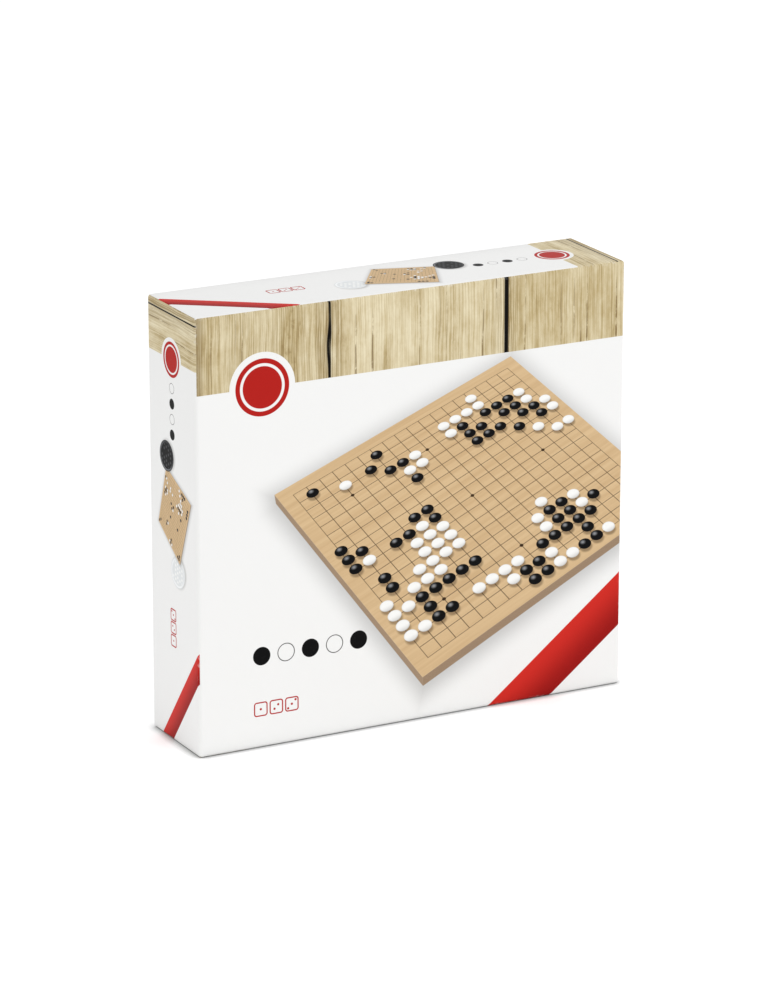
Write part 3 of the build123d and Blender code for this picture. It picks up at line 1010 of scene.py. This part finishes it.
def heap(name, node, reach, count, seed, material):
    """A loose heap of lens-shaped stones on the floor of a bowl, each resting on those under it."""
    low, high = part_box(node)
    middle = (low + high) / 2
    radius, half = STONE_WIDTH / 2, (high.y - low.y) / 2
    ball = (radius**2 + half**2) / (2 * half)
    draw = random.Random(seed)
    stones = []

    def rest(x, z):
        """How high a stone's middle lies above the floor when it is put down at a place."""
        level = half
        for other_x, other_z, other_level in stones:
            far = (x - other_x) ** 2 + (z - other_z) ** 2
            if far < STONE_WIDTH**2:
                level = max(level, other_level + sqrt(4 * ball**2 - far) - 2 * (ball - half))
        return level

    for _ in range(count):
        best = None
        for _ in range(HEAP_TRIES):
            angle, far = draw.uniform(0, 2 * pi), reach * sqrt(draw.random())
            x, z = far * cos(angle), far * sin(angle)
            level = rest(x, z)
            if best is None or level < best[2]:
                best = (x, z, level)
        stones.append(best)

    outline = []
    for ring in range(1, 2 * STONE_RINGS):
        share = sin(pi * ring / (2 * STONE_RINGS))
        rise = copysign((1 - share**2) ** STONE_FULLNESS, STONE_RINGS - ring)
        outline.append((radius * share, half * rise))
    vertices, faces = [], []
    for x, z, level in stones:
        lean = radians(HEAP_LEAN_DEG) if level > FLAT_LAYER_SHARE * half else 0.0
        lean_x, lean_z = draw.uniform(-lean, lean), draw.uniform(-lean, lean)
        turn = Matrix.Rotation(lean_x, 3, "X") @ Matrix.Rotation(lean_z, 3, "Z")
        centre = Vector((middle.x + x, high.y - level, middle.z + z))
        first = len(vertices)
        vertices.append(centre + turn @ Vector((0, -half, 0)))
        for wide, rise in outline:
            for step in range(STONE_STEPS):
                angle = 2 * pi * step / STONE_STEPS
                place = Vector((wide * cos(angle), -rise, wide * sin(angle)))
                vertices.append(centre + turn @ place)
        vertices.append(centre + turn @ Vector((0, half, 0)))
        last = len(vertices) - 1
        final = last - STONE_STEPS
        for step in range(STONE_STEPS):
            after = (step + 1) % STONE_STEPS
            faces.append((first, first + 1 + step, first + 1 + after))
            for ring in range(len(outline) - 1):
                upper = first + 1 + ring * STONE_STEPS
                lower = upper + STONE_STEPS
                faces.append((upper + step, lower + step, lower + after, upper + after))
            faces.append((final + step, last, final + after))
    mesh = bpy.data.meshes.new(name)
    mesh.from_pydata(vertices, [], faces)
    mesh.materials.append(material)
    for face in mesh.polygons:
        face.use_smooth = True
    return link_new(name, mesh)


def well_ring(radius, growth, scooped):
    """One ring of a well as places about its centre: a circle, with a slot across it where it is scooped."""
    circle = radius + growth
    half = SCOOP_WIDTH / 2 + growth
    end = radius + SCOOP_LENGTH + growth
    corner = SCOOP_CORNER + growth
    start = asin(half / circle)
    slot = [(half, circle * cos(start))]
    for side, first in ((1, 0), (-1, 90)):
        for step in range(SCOOP_CORNER_STEPS + 1):
            angle = radians(first + 90 * step / SCOOP_CORNER_STEPS)
            x = side * (half - corner) + corner * cos(angle)
            slot.append((x, end - corner + corner * sin(angle)))
    slot.append((-half, circle * cos(start)))
    if not scooped:
        count = len(slot) - 1
        angles = [start - 2 * start * step / count for step in range(count + 1)]
        slot = [(circle * sin(angle), circle * cos(angle)) for angle in angles]
    arc = []
    for step in range(1, WELL_ARC_STEPS):
        angle = start + (pi - 2 * start) * step / WELL_ARC_STEPS
        arc.append((-circle * sin(angle), circle * cos(angle)))
    upper = slot + arc
    return upper + [(-x, -z) for x, z in upper]


def formed_tray(name, material):
    """One formed sheet: drafted walls, a deck and two scooped wells, with every bend rounded."""
    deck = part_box("tray_deck")[0].y
    walls_low, walls_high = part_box("tray_walls")
    rise = walls_high.y - deck
    lean = rise * tan(radians(TRAY_DRAFT_DEG))
    build = bmesh.new()
    outer = []
    for inset, y in ((0, walls_high.y), (lean, deck), (lean + TRAY_LAND, deck)):
        corner = max(TRAY_CORNER - inset, TRAY_SHEET)
        loop = rounded_loop(walls_low, walls_high, inset, corner, y)
        outer.append([build.verts.new(place) for place in loop])
    join_rings(build, outer)
    borders = [outer[-1]]
    for colour in ("black", "white"):
        low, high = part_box(f"tray_{colour}_well")
        cap_low, cap_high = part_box(f"{colour}_bowl_lid")
        middle = (low + high) / 2
        radius = (cap_high.x - cap_low.x) / 2 + WELL_GAP
        depth = high.y - low.y - TRAY_SHEET
        draft = tan(radians(WELL_DRAFT_DEG))
        rings = []
        for growth, down, scooped in (
            (TRAY_LAND, 0, True),
            (0, 0, True),
            (-SCOOP_DEPTH * draft, SCOOP_DEPTH, True),
            (-SCOOP_DEPTH * draft, SCOOP_DEPTH, False),
            (-depth * draft, depth, False),
        ):
            ring = well_ring(radius, growth, scooped)
            rings.append([build.verts.new((middle.x + x, deck + down, middle.z + z)) for x, z in ring])
        join_rings(build, rings)
        build.faces.new(rings[-1])
        borders.append(rings[0])
    edges = []
    for border in borders:
        for start, end in zip(border, border[1:] + border[:1]):
            edges.append(build.edges.get((start, end)))
    bmesh.ops.triangle_fill(build, edges=edges, use_beauty=True, use_dissolve=False)
    weld(build, WELD)
    floor = min(build.faces, key=lambda face: abs(face.calc_center_median().y - deck) - face.calc_area())
    if floor.normal.y > 0:
        bmesh.ops.reverse_faces(build, faces=build.faces)
    obj = add_mesh(name, build, [material])
    bends = obj.modifiers.new("bends", "BEVEL")
    bends.width = TRAY_BEND
    bends.segments = TRAY_BEND_STEPS
    bends.limit_method = "ANGLE"
    bends.angle_limit = radians(TRAY_BEND_LIMIT_DEG)
    bends.loop_slide = False
    sheet = obj.modifiers.new("sheet", "SOLIDIFY")
    sheet.thickness = TRAY_SHEET
    sheet.offset = -1.0
    smooth(obj)
    return obj


# Box
lid_low, lid_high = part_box("lid_wrap")
half_width, height = lid_high.x / MM, lid_high.z / MM
half_depth = (lid_high.y - lid_low.y) / 2 / MM
lid_papers = [front_print(lid_high)]
for side, along, way_across, reach in (
    ("left", (Z_AXIS, 1.0, 0.0), 1.0, height),
    ("right", (Z_AXIS, 1.0, 0.0), -1.0, height),
    ("top", (X_AXIS, 1.0, half_width), 1.0, 2 * half_width),
    ("bottom", (X_AXIS, -1.0, half_width), 1.0, 2 * half_width),
):
    lid_papers.append(strip_print(f"lid_{side}_print", along, way_across, reach, half_depth))
lid_papers.append(white_paper("lid_turn_in_paper"))
lid_wrap = folded_shell("lid_printed_wrap", lid_low, lid_high, lid_low.y, lid_high.y, lid_papers, lid_side)
seat(lid_wrap, "lid", "lid_print", "lid_wrap")
base_low, base_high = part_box("base_wrap")
base_papers = [white_paper("base_white_paper")]
base_wrap = folded_shell(
    "base_paper_wrap", base_low, base_high, base_high.y, base_low.y, base_papers, lambda face, middle: 0
)
seat(base_wrap, "base", "base_paper", "base_wrap")

# Greyboard and its corner tape
board_nodes = []
for half, panel in (("lid", "front"), ("base", "back")):
    for side in (panel, "left", "right", "top", "bottom"):
        board_nodes.append(f"{half}_{side}_board")
dress(flecked_board(), *board_nodes)
dress(brown_tape(), "lid_corner_stays", "base_corner_stays")

# Playing board and leaflet
face_low, face_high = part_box("board_face_veneer")
dress(veneer("board_face_wood", face_low, face_high, True), "board_face_veneer")
dress(veneer("board_back_wood", face_low, face_high, False), "board_back_veneer")
dress(fibreboard(), "board_core")
dress(leaflet_print(*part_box("rules_leaflet")), "rules_leaflet")

# Tray
tray_nodes = ("tray_deck", "tray_walls", "tray_black_well", "tray_white_well")
tray_plastic = moulded("tray_plastic", ink(237, 237, 235), ink(234, 234, 232), 0.34, 0.01)
seat(formed_tray("formed_tray", tray_plastic), "tray", "tray_plastic", *tray_nodes)

# Bowls, their lids and their stones
plastics = {
    "black": moulded("black_plastic", ink(26, 26, 28), ink(18, 18, 19), 0.2),
    "white": moulded("clear_plastic", ink(238, 242, 243), ink(234, 239, 240), 0.2, 0.003, Alpha=0.4),
}
stone_finishes = {
    "black": moulded("black_stone", ink(27, 27, 29), ink(17, 17, 18), 0.4),
    "white": moulded("white_stone", ink(245, 244, 240), ink(240, 238, 232), 0.3),
}
plastic_slots = {"black": "black_plastic", "white": "clear_plastic"}
for colour, count, seed in (("black", 181, 5), ("white", 180, 8)):
    low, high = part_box(f"{colour}_bowl")
    reach = (high.x - low.x) / 2 - BOWL_BEAD - BOWL_TAPER - BOWL_WALL - STONE_WIDTH / 2
    body = f"bowl_{colour}"
    vessel = bowl(f"{colour}_moulded_bowl", f"{colour}_bowl", plastics[colour])
    seat(vessel, body, plastic_slots[colour], f"{colour}_bowl")
    cap = bowl_lid(f"{colour}_moulded_lid", f"{colour}_bowl_lid", plastics[colour])
    seat(cap, f"cap_{colour}", plastic_slots[colour], f"{colour}_bowl_lid")
    stones = heap(f"{colour}_stone_heap", f"{colour}_stones", reach, count, seed, stone_finishes[colour])
    seat(stones, body, f"{colour}_stone", f"{colour}_stones")

# Floor, with painted contact shade: its colour and glow darken close to what stands on it
floor_build = bmesh.new()
bmesh.ops.create_grid(floor_build, x_segments=1, y_segments=1, size=FLOOR_SIZE / 2)
floor_material, floor_shader = surface("floor_white_painted_shade", 0.9)
# Painted shade: ambient occlusion darkens the floor's colour and dims its glow where something stands close
painted_contact_shade = floor_material.node_tree.nodes.new("ShaderNodeAmbientOcclusion")
painted_contact_shade.inputs["Distance"].default_value = PAINTED_SHADE_REACH
painted_shade_openness = Term(painted_contact_shade.outputs["AO"])
floor_colour_with_painted_shade = blended(painted_shade_openness, FLOOR_PAINTED_SHADE, FLOOR_WHITE)
feed(floor_shader.inputs["Base Color"], floor_colour_with_painted_shade)
floor_shader.inputs["Emission Color"].default_value = (1.0, 1.0, 1.0, 1.0)
feed(floor_shader.inputs["Emission Strength"], painted_shade_openness * FLOOR_GLOW)
floor = add_mesh("floor", floor_build, [floor_material])

# Light
world = bpy.data.worlds.new("studio")
bpy.context.scene.world = world
world.use_nodes = True
sky = world.node_tree.nodes["Background"]
sky.inputs["Color"].default_value = (1.0, 1.0, 1.0, 1.0)
sky.inputs["Strength"].default_value = SKY_STRENGTH

key_data = bpy.data.lights.new("key", "AREA")
key_data.energy = KEY_POWER
key_data.size = KEY_SIZE
key = link_new("key", key_data)
key.location = KEY_PLACE
key.rotation_euler = (Vector(KEY_AIM) - key.location).to_track_quat("-Z", "Y").to_euler()
bpy.context.scene.view_settings.view_transform = "Standard"

# Camera
back = Vector(
    (
        sin(VIEW_AZIMUTH) * cos(VIEW_ELEVATION),
        -cos(VIEW_AZIMUTH) * cos(VIEW_ELEVATION),
        sin(VIEW_ELEVATION),
    )
)
right = Vector((cos(VIEW_AZIMUTH), sin(VIEW_AZIMUTH), 0))
up = back.cross(right)
aim = Vector((0, 0, VIEW_AIM_HEIGHT)) + right * VIEW_AIM_RIGHT + up * VIEW_AIM_UP
camera_data = bpy.data.cameras.new("camera")
camera_data.sensor_fit = "VERTICAL"
camera_data.sensor_height = SENSOR
camera_data.lens = SENSOR * FOCAL_PIXELS / IMAGE_HEIGHT
camera = link_new("camera", camera_data)
camera.matrix_world = Matrix((right, up, back)).transposed().to_4x4()
camera.location = aim + back * VIEW_DISTANCE
bpy.context.scene.camera = camera
